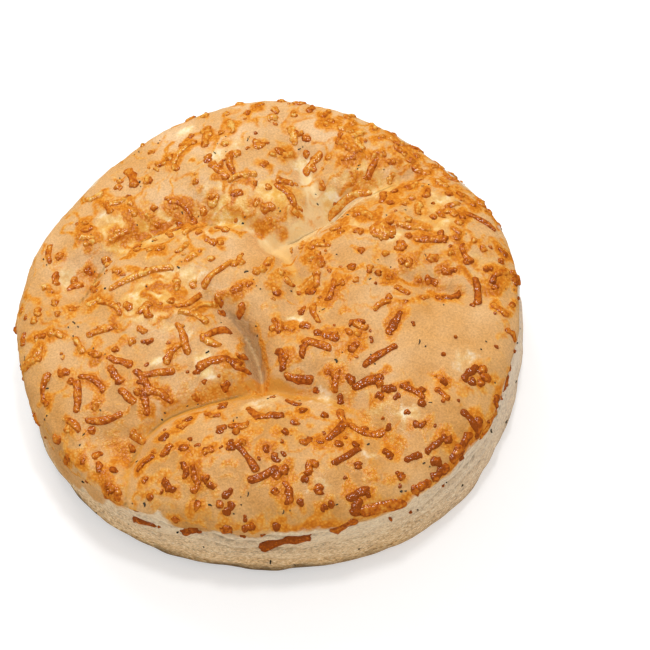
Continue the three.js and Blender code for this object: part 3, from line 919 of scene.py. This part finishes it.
# %% The deepest crease and the lines of painted shade along others
# Bare dough in the deepest crease: its path through x, y, and its half width at start and end
PIT_PATH = [(-18, -3), (-13.5, -6), (-10, -10), (-8.5, -15.5), (-9.3, -24), (-9.7, -34)]
PIT_HALF_WIDTH = (0.5, 3.6)
PIT_OPENING = 1.6  # a higher power keeps it narrow for longer
PIT_WAVES = [(5, 0.4, 30)]
PIT_START = (0, 0.2)  # it fades in over this share of its path
PIT_END = (0.97, 1)
PIT_EDGE = (-0.5, 0.3)
PIT_GLAZE = 0.65  # strength of the melt on both sides of it
GLAZE_START = (0.3, 0.6)
GLAZE_PLACE = 2.0  # how far past the edge of the pit the melt is strongest
GLAZE_WIDTH = 1.6
SHADE_LINED_CREASES = (1, 3, 5)  # the creases that get a thin line of painted shade along their bottom
LINE_WIDTH = 0.55
SHADE_LINE_STRENGTH = 0.7
PIT_LINE_FADE = 0.5  # the painted shade line round the pit loses this share by its end
LINE_BREAK_SIZE = 15.0  # the line is broken by waves of this length
LINE_BREAKS = (-0.3, 0.7)  # it is gone below the first height of a wave, and whole at the second
FOLD_DEPTH = (3.5, 8.5)  # streaks show in creases from the first depth, and fully at the second
pit_gap, pit_share = gap_to(spline(PIT_PATH, CREASE_STEPS), loaf_u, loaf_v)
past_pit = (pit_gap - between(PIT_HALF_WIDTH, pit_share**PIT_OPENING)
            + waves(loaf_places, PIT_WAVES))
in_pit = ease(*PIT_START, pit_share) * (1 - ease(*PIT_END, pit_share))
pit = in_pit * (1 - ease(*PIT_EDGE, past_pit))
pit_glaze = PIT_GLAZE * ease(*GLAZE_START, pit_share) * bell(past_pit - GLAZE_PLACE, GLAZE_WIDTH)
pit_shade_line = in_pit * (1 - PIT_LINE_FADE * pit_share) * bell(past_pit, LINE_WIDTH)
line_gap = np.min([gap_to(spline(CREASES[number][1], CREASE_STEPS), loaf_u, loaf_v)[0]
                   for number in SHADE_LINED_CREASES], axis=0)
crease_shade_line = bell(line_gap, LINE_WIDTH)
crease_shade_line *= ease(*LINE_BREAKS, ripples(loaf_places, LINE_BREAK_SIZE, seed=29))
# Painted shade: thin dark lines along the bottoms of some creases and round the edge of the pit
line = SHADE_LINE_STRENGTH * np.maximum(pit_shade_line, crease_shade_line) * on_crust
fold = ease(*FOLD_DEPTH, crease_depth(loaf_u, loaf_v, CREASES[1:])) * on_crust
print("the pit covers %d points" % (pit > 0.5).sum())

# %% Bells along rods
ROD_STEPS = 7
ROD_REACH = 0.4  # melt runs this share of a rod's length to both sides of its middle
BELL_REACH = 3  # a bell is as good as 0 beyond this many times its width


def bent(rods, share):
    """How far a rod's middle line lies to the side: a parabola along it, more for long rods."""
    return rods["bend"] * (share**2 - 1 / 3) * rods["length"] / SHRED_LENGTH[1]


def columns(rods):
    """The rods' arrays as columns, to be combined with rows of points."""
    return {name: values[:, None] for name, values in rods.items()}


def along_rods(rods, strength, reach, u, v):
    """Each rod leaves a bell of the distance from its bent middle line, and the strongest one
    wins at each place. Only places near a rod are worked out for it."""
    total = 0 * u
    share = np.linspace(-1, 1, ROD_STEPS)
    rod = columns(rods)
    run, side = ROD_REACH * rod["length"] * share, bent(rod, share)
    turn_x, turn_y = np.cos(rod["heading"]), np.sin(rod["heading"])
    paths = np.stack([rod["u"] + run * turn_x + side * turn_y,
                      rod["v"] + run * turn_y - side * turn_x], -1)
    for path, rod_strength, rod_reach in zip(paths, strength, reach):
        middle = path[ROD_STEPS // 2]
        far = np.hypot(*(path[-1] - path[0])) / 2 + BELL_REACH * rod_reach
        near = np.hypot(u - middle[0], v - middle[1]) < far
        gap, _ = gap_to(path, u[near], v[near])
        total[near] = np.maximum(total[near], rod_strength * bell(gap, rod_reach))
    return total


# %% Melted strands
STRAND_RELIEF = 0.5  # how far a melted strand stands above the crust
STRAND_STRENGTH = (0.3, 1.0)
STRAND_ALONE = 0.7  # a strand's share of its strength on plain crust
STRAND_IN_POOL = 0.4  # what a pool adds
STRAND_IN_THICK = 0.16  # and what thickly fallen cheese adds
STRAND_HALF_WIDTH = 0.6  # as a share of its width
FRINGE = (0.5, 2.8)  # how far the orange fringe of a browned shred runs past its edge
FRINGE_STRENGTH = (0.4, 1.0)
FRINGE_IN_THICK = 0.1  # what thickly fallen cheese adds to it
FRINGE_DEPTH = (3, 8)  # fringes die away in creases between these depths
LOOP_SIZE = 17.0  # melted cheese drew out into winding loops of about this size
LOOP_WIDTH = 0.32
LOOP_STRENGTH = 0.55
LOOP_PATCHES = (-0.3, 0.8)  # they show between these heights of waves twice as long
BARENESS = 1.3  # how firmly the bare spots keep loops off
LIP_MELT_STRENGTH = (0.65, 1.0)  # in the thin and the thick patches of the lip's melt
LIP_MELT_WIDTH = 3.4
LIP_MELT_PLACE = -2.0  # how far past the lip it is strongest
LIP_PATCH_SIZE = 13.0
LIP_PATCHES = (-0.7, 0.5)  # its patches go from thin to thick between these heights of a wave
CREAM_COVER = 0.65  # how much of the strands cream covers

bare = np.clip(bumps([(*spot, BARENESS) for spot in BARE_CRUST], loaf_u, loaf_v), 0, 1)
loops = LOOP_STRENGTH * bell(ripples(melt_places, LOOP_SIZE, seed=23), LOOP_WIDTH) * (1 - bare)
loops *= ease(*LOOP_PATCHES, ripples(melt_places, 2 * LOOP_SIZE, seed=24))
pooled = np.clip(bumps(POOLS, strands["u"], strands["v"]), 0, 1)
strand_share = (STRAND_ALONE + STRAND_IN_POOL * pooled
                + STRAND_IN_THICK * thickness_of_fall(strands))
strand_strength = between(STRAND_STRENGTH, strands["melt"]) * strand_share
fringe_strength = between(FRINGE_STRENGTH, shreds["melt"])
fringe_strength += FRINGE_IN_THICK * thickness_of_fall(shreds)
fringe_strength *= 1 - ease(*FRINGE_DEPTH, crease_depth(shreds["u"], shreds["v"]))
fringe_reach = 0.5 * shreds["width"] + between(FRINGE, shreds["melt"])
lip_melt = at_lip_melt * bell(past_lip + rim_stray - LIP_MELT_PLACE, LIP_MELT_WIDTH)
lip_patches = ease(*LIP_PATCHES, ripples(melt_places, LIP_PATCH_SIZE, seed=27))
lip_melt *= between(LIP_MELT_STRENGTH, lip_patches)
strand = np.max([
    along_rods(strands, strand_strength, STRAND_HALF_WIDTH * strands["width"], melt_u, melt_v),
    along_rods(shreds, fringe_strength, fringe_reach, melt_u, melt_v),
    loops, lip_melt, runs, pit_glaze], axis=0)
strand *= on_crust * (1 - CREAM_COVER * np.clip(cream, 0, 1))
print("strands cover %.0f%% of the points on the crust" % (100 * (strand > 0.4)[on_crust > 0].mean()))

# %% Make the loaf
GROOVE_DEPTH = (0.7, 1.5)  # painted shade darkens the folds of the wall from the first depth, most at the second
GROOVE_SHADE_STRENGTH = 0.8
loaf_points = lay(loaf_u, loaf_v, STRAND_RELIEF * np.clip(strand, 0, 1))
groove_depth = wall_folds(np.hypot(loaf_u, loaf_v), loaf_angle, *loaf_points.T[:2])
# Painted shade in the folds of the wall
groove = GROOVE_SHADE_STRENGTH * ease(*GROOVE_DEPTH, groove_depth)
loaf = make_piece("loaf", loaf_points, skin_faces(len(reaches), AROUND), baked_crust, "crust",
                  pool=pool, strand=strand, cream=cream, fold=fold, pit=pit, line=line, wall=wall,
                  groove=groove)
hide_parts("focaccia")

# %% [markdown]
# ## Browned shreds
# A shred is a blunt rod, a little bent and lumpy, that slumped into the crust as it melted, so
# its margin is thin and its back is rounded. Copies of one modelled shred would all look alike,
# so all of them are worked out as one array, with an axis for the shred and one for the points
# of its skin.

# %% Shred skins
MARGIN_DEPTH = 0.12  # a shred's margin dips this far into the crust, as a share of its rise
END_ROUNDNESS = 0.42  # the radius of a shred's round ends, as a share of its width
LUMP_SIZE = 3.8
LUMP_SWING = 0.17  # as a share of the shred's section
TAPER = 0.25  # most that one end is thicker than the middle
# Rings of a rod from tip to tip: which end it is at, and the turn round that end in degrees
ROD_RINGS = np.array([(-1, 0), (-1, 30), (-1, 60), (-1, 90), (-0.5, 90), (0, 90),
                      (0.5, 90), (1, 90), (1, 60), (1, 30), (1, 0)])
FULL_RINGS = len(ROD_RINGS) - 2  # the first and the last are end points


def rod_skins(rods, around, rise, seed):
    """Skins of bent lumpy rods laid on the loaf, with each point's share of the rod's height: a
    rod is straight in its middle and round at its ends, and its section is half an ellipse whose
    margin dips into the crust, closed by one point below."""
    arc = np.linspace(0, pi, around - 1)
    across = np.append(np.cos(arc), 0)
    arch = np.append((1 + MARGIN_DEPTH) * np.sin(arc) - MARGIN_DEPTH, -1)
    across = np.concatenate([[0], np.tile(across, FULL_RINGS), [0]])
    arch = np.concatenate([[-MARGIN_DEPTH], np.tile(arch, FULL_RINGS), [-MARGIN_DEPTH]])
    end, turn = np.repeat(ROD_RINGS, [1] + [around] * FULL_RINGS + [1], axis=0).T
    rod = columns(rods)
    round_end = END_ROUNDNESS * np.minimum(rod["width"], rod["length"])
    run = end * (rod["length"] / 2 - round_end * (1 - np.cos(np.radians(turn))))
    swell = np.sin(np.radians(turn))
    along = 2 * run / rod["length"]
    seat = np.stack([rod["u"] + run, rod["v"] + across, 2 * run + across], -1)
    lump = 1 + LUMP_SWING * ripples(seat, LUMP_SIZE, seed)
    half_width = (1 + TAPER * rod["taper"] * along) * rod["width"] / 2
    side = across * swell * lump * half_width + bent(rod, along)
    u = rod["u"] + run * np.cos(rod["heading"]) + side * np.sin(rod["heading"])
    v = rod["v"] + run * np.sin(rod["heading"]) - side * np.cos(rod["heading"])
    height = arch * np.where(arch > 0, swell * lump, 1)
    return lay(u, v, rise * height), height


# %% Browning and pieces of cheese
TOAST_SPREAD = 0.38  # how much browner the brownest shreds are than the palest
CRISP_AND_SHADED_SIDE = (0.3, -1.0)  # cheese is darkest at the front, and darker at the right than the left: partly browning, partly painted shade
FRONT_BROWNING_AND_SHADE = 0.38  # how much darker it is there than in the middle
LEAST_FRONT = -0.25  # beyond this share of the radius the back is alike
MARGIN_BROWNING_AND_SHADE = 0.22  # the margin is darker than the back: partly the thin margin crisping first, partly painted shade at the shred's edge


def browning(rods, base, height):
    """How dark each point is: the shred's own draw and its place on the loaf, and more at its thin
    margin than on its back. Place and margin are partly browning and partly painted shade."""
    front = (CRISP_AND_SHADED_SIDE[0] * rods["u"] + CRISP_AND_SHADED_SIDE[1] * rods["v"]) / LOAF_RADIUS
    front = np.maximum(front, LEAST_FRONT)
    # Partly painted shade: darker towards the front and the right
    shred_toast = base + TOAST_SPREAD * rods["toast"] + FRONT_BROWNING_AND_SHADE * front
    # Partly painted shade: darker at the thin margin than on the back
    return shred_toast[:, None] + MARGIN_BROWNING_AND_SHADE * (1 - np.clip(height, 0, 1) ** 2)


def make_shreds(name, rods, around, rise, base, seed):
    """One piece of all the rods, each with its own browning."""
    points, height = rod_skins(rods, around, rise, seed)
    faces = skin_faces(FULL_RINGS, around, len(rods["u"]))
    toast = browning(rods, base, height)
    make_piece(name, points, faces, browned_cheese, "cheese", toast=toast)


make_shreds("cheese_shreds", shreds, around=7, rise=1.15, base=-0.44, seed=11)
make_shreds("cheese_crumbs", crumbs, around=6, rise=0.8, base=-0.42, seed=12)

# %% [markdown]
# ## Herb flecks
# Dried herbs in the dough show as dark flecks a millimetre or so long, baked flat into the skin.
# A dry leaf breaks, so a smaller speck lies near each fleck on the top. Both are the same rods as
# the cheese, only thinner and lower, so they follow the skin without any fitting.

# %% Herb flecks
HERBS = dict(count=130, spread=130.0, length=(0.7, 2.2), width=(0.4, 0.8), shortness=1.6, channel=40)
SPECK_LENGTH = (0.5, 1.0)
SPECK_WIDTH = (0.4, 0.7)
SPECK_GAP = (1.2, 6.0)
SPECK_CHANNEL = 50
FLECK_SIDES = 6
FLECK_RISE = 0.5
flecks = grated(**HERBS)
specks = keep(flecks, np.hypot(flecks["u"], flecks["v"]) < LIP_REACH)
gap_draw, turn_draw, length_draw, width_draw = (
    scatter(np.arange(len(specks["u"])), SPECK_CHANNEL + number) for number in range(4))
speck_gap = between(SPECK_GAP, gap_draw)
specks["u"] = specks["u"] + speck_gap * np.cos(tau * turn_draw)
specks["v"] = specks["v"] + speck_gap * np.sin(tau * turn_draw)
specks["length"] = between(SPECK_LENGTH, length_draw)
specks["width"] = between(SPECK_WIDTH, width_draw)
flecks = join(flecks, specks)
fleck_points, _ = rod_skins(flecks, FLECK_SIDES, FLECK_RISE, seed=13)
fleck_faces = skin_faces(FULL_RINGS, FLECK_SIDES, len(flecks["u"]))
make_piece("herb_flecks", fleck_points, fleck_faces, dried_herb, "herb")

# %% [markdown]
# ## Stage, light and camera
# The loaf lies on a white light table, which keeps the shadows thin. A soft lamp behind it draws
# the puffs and creases, a smaller one above firms the shadows, and a third is seen only in
# reflections, because glints alone make cheese look oily. The camera looks down from in front, a
# little rolled, with a long lens.

# %% Floor
FLOOR_SIDE = 4.0
FLOOR_GLOW = 0.4
half_side = FLOOR_SIDE / 2
floor_mesh = bpy.data.meshes.new("floor")
floor_mesh.from_pydata([(-half_side, -half_side, 0), (half_side, -half_side, 0),
                        (half_side, half_side, 0), (-half_side, half_side, 0)], [], [(0, 1, 2, 3)])
# Matt white acrylic lit from below looks evenly bright
floor_material, floor_tree = new_material("white_light_table")
floor_skin = put(floor_tree, "BsdfPrincipled", {
    "Base Color": linear("#DADADA"), "Roughness": 0.9, "Specular IOR Level": 0.1,
    "Emission Color": linear("#FFFFFF"), "Emission Strength": FLOOR_GLOW})
put(floor_tree, "OutputMaterial", {"Surface": floor_skin.outputs[0]})
floor_mesh.materials.append(floor_material)
floor = bpy.data.objects.new("floor", floor_mesh)
bpy.context.scene.collection.objects.link(floor)
print("floor: %.0f m square" % FLOOR_SIDE)

# %% Light
ROOM_LIGHT = 0.64
# Lamps that face the loaf: place and side in metres, power in watts
LAMPS = {
    "key_light": ((-0.2, 1.0, 0.9), 0.5, 7.0),
    "top_light": ((0.15, 0.05, 1.0), 0.12, 2.8),
    "spark_light": ((-0.08, 0.05, 1.0), 0.25, 10.0),
}
scene = bpy.context.scene
scene.view_settings.view_transform = "Standard"
world = bpy.data.worlds.new("soft_room")
world.use_nodes = True
sky = world.node_tree.nodes["Background"]
sky.inputs["Color"].default_value = linear("#FFFFFF")
sky.inputs["Strength"].default_value = ROOM_LIGHT
scene.world = world


def soft_light(name, place, side, power):
    """A square area light at a place, turned towards the middle of the base."""
    lamp = bpy.data.lights.new(name, "AREA")
    lamp.size = side
    lamp.energy = power
    light = bpy.data.objects.new(name, lamp)
    light.location = place
    light.rotation_euler = (-Vector(place)).to_track_quat("-Z", "Y").to_euler()
    scene.collection.objects.link(light)
    return light


key_light, top_light, spark_light = (soft_light(name, *row) for name, row in LAMPS.items())
# Oil on cheese glints without a haze, so it reflects the spark light alone
spark_light.visible_diffuse = False
for hazy in (key_light, top_light, floor):
    hazy.visible_glossy = False
world.cycles_visibility.glossy = False

# %% Camera
VIEW_ELEVATION = radians(58)
VIEW_ROLL = radians(-11)
VIEW_DISTANCE = 850 * MM
IMAGE_SIDE = 650
FOCAL_PIXELS = 2100
SENSOR_WIDTH = 36
AIM = Vector((0.36, -1.66, 20)) * MM  # this point of the loaf
AIM_PIXEL = (271.8, 328.5)  # is seen at this pixel of the picture

back = Vector((0, -cos(VIEW_ELEVATION), sin(VIEW_ELEVATION)))
level_right = Vector((1, 0, 0))
level_up = back.cross(level_right)
right = level_right * cos(VIEW_ROLL) + level_up * sin(VIEW_ROLL)
up = back.cross(right)
camera_place = AIM + back * VIEW_DISTANCE
# The lens looks a little past the aim, so that the aim falls on its own pixel
across = (AIM_PIXEL[0] - IMAGE_SIDE / 2) / FOCAL_PIXELS
down = (AIM_PIXEL[1] - IMAGE_SIDE / 2) / FOCAL_PIXELS
axis = (back + right * across - up * down).normalized()
right = (right - axis * right.dot(axis)).normalized()
up = axis.cross(right)
lens = bpy.data.cameras.new("camera")
lens.sensor_width = SENSOR_WIDTH
lens.lens = FOCAL_PIXELS / IMAGE_SIDE * SENSOR_WIDTH
camera = bpy.data.objects.new("camera", lens)
camera.matrix_world = Matrix((
    (right.x, up.x, axis.x, camera_place.x),
    (right.y, up.y, axis.y, camera_place.y),
    (right.z, up.z, axis.z, camera_place.z),
    (0, 0, 0, 1)))
scene.collection.objects.link(camera)
scene.camera = camera
print("camera %.0f mm from the loaf, lens %.0f mm" % (VIEW_DISTANCE / MM, lens.lens))
